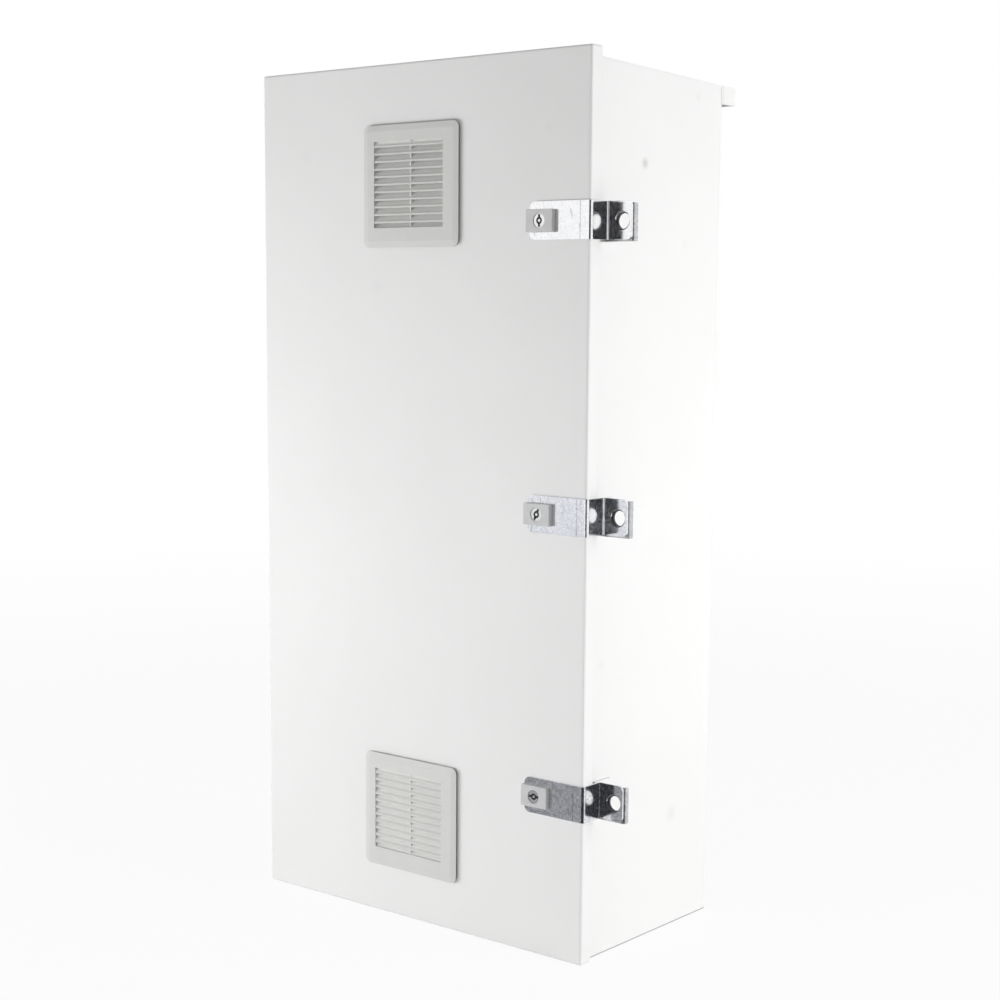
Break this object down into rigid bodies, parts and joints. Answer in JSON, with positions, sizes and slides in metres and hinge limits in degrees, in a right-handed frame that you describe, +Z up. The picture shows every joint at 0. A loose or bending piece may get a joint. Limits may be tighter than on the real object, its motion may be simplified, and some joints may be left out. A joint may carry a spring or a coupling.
{
  "type": "roadside utility cabinet",
  "caption": "Upright folded-steel utility cabinet with a hinged lid-shaped door, louvred vents, padlock hasps and quarter-turn cam locks.",
  "frame": {"origin": "centre of the base's underside, midway between the body's sides and between its front edge and back", "axes": "+Z up, -Y the way the door faces, +X towards the latches, on the right as seen from the front"},
  "size_m": [0.538, 0.3045, 1.013],
  "materials": {
    "painted_steel": "pale grey polyester powder coat, satin, slightly textured",
    "zinc_plate": "zinc plated, dulled and spangled",
    "cast_zinc": "die-cast zinc, satin",
    "galvanised_steel": "galvanised sheet",
    "fixing_steel": "bright zinc-plated steel",
    "brass": "turned",
    "vent_plastic": "moulded grey plastic, matt",
    "black_rubber": "foamed rubber, matt",
    "filter_fleece": "off-white fleece"
  },
  "bodies": {
    "cabinet": {"body_shell": "painted_steel", "roof_panel": "painted_steel", "floor_panel": "painted_steel", "gland_plate": "galvanised_steel", "gland_seal": "black_rubber", "gland_studs": "fixing_steel", "gland_nuts": "fixing_steel", "gear_plate": "galvanised_steel", "gear_plate_studs": "fixing_steel", "gear_plate_nuts": "fixing_steel", "body_earth_stud": "brass", "keeper_screws": "fixing_steel", "keeper_nuts": "fixing_steel", "hinge_screws": "fixing_steel", "hinge_nuts": "fixing_steel", "keeper_top": "zinc_plate", "hinge_body_leaf_top": "painted_steel", "hinge_pin_top": "fixing_steel", "keeper_middle": "zinc_plate", "hinge_body_leaf_middle": "painted_steel", "hinge_pin_middle": "fixing_steel", "keeper_bottom": "zinc_plate", "hinge_body_leaf_bottom": "painted_steel", "hinge_pin_bottom": "fixing_steel"},
    "door": {"door_panel": "painted_steel", "door_gasket": "black_rubber", "door_earth_stud": "brass", "vent_screws": "fixing_steel", "hasp_top": "zinc_plate", "lock_housing_top": "cast_zinc", "lock_nut_top": "cast_zinc", "hinge_door_leaf_top": "painted_steel", "hasp_middle": "zinc_plate", "lock_housing_middle": "cast_zinc", "lock_nut_middle": "cast_zinc", "hinge_door_leaf_middle": "painted_steel", "hasp_bottom": "zinc_plate", "lock_housing_bottom": "cast_zinc", "lock_nut_bottom": "cast_zinc", "hinge_door_leaf_bottom": "painted_steel", "vent_cover_top": "vent_plastic", "vent_seal_top": "black_rubber", "filter_mat_top": "filter_fleece", "vent_guard_top": "vent_plastic", "vent_cover_bottom": "vent_plastic", "vent_seal_bottom": "black_rubber", "filter_mat_bottom": "filter_fleece", "vent_guard_bottom": "vent_plastic"},
    "lock_top": {"lock_rotor_top": "cast_zinc", "lock_cam_top": "fixing_steel", "cam_screw_top": "fixing_steel"},
    "lock_middle": {"lock_rotor_middle": "cast_zinc", "lock_cam_middle": "fixing_steel", "cam_screw_middle": "fixing_steel"},
    "lock_bottom": {"lock_rotor_bottom": "cast_zinc", "lock_cam_bottom": "fixing_steel", "cam_screw_bottom": "fixing_steel"}
  },
  "joints": [
    {"name": "door_hinge", "type": "hinge", "parent": "cabinet", "child": "door", "pos_m": [-0.2467, -0.1195, 0.507], "axis": [0, 0, -1], "range_deg": [0, 120]},
    {"name": "lock_top_turn", "type": "hinge", "parent": "door", "child": "lock_top", "pos_m": [0.1865, -0.145, 0.83], "axis": [0, 1, 0], "range_deg": [0, 90]},
    {"name": "lock_middle_turn", "type": "hinge", "parent": "door", "child": "lock_middle", "pos_m": [0.1865, -0.145, 0.509], "axis": [0, 1, 0], "range_deg": [-25, 65]},
    {"name": "lock_bottom_turn", "type": "hinge", "parent": "door", "child": "lock_bottom", "pos_m": [0.1865, -0.145, 0.188], "axis": [0, 1, 0], "range_deg": [0, 90]}
  ]
}
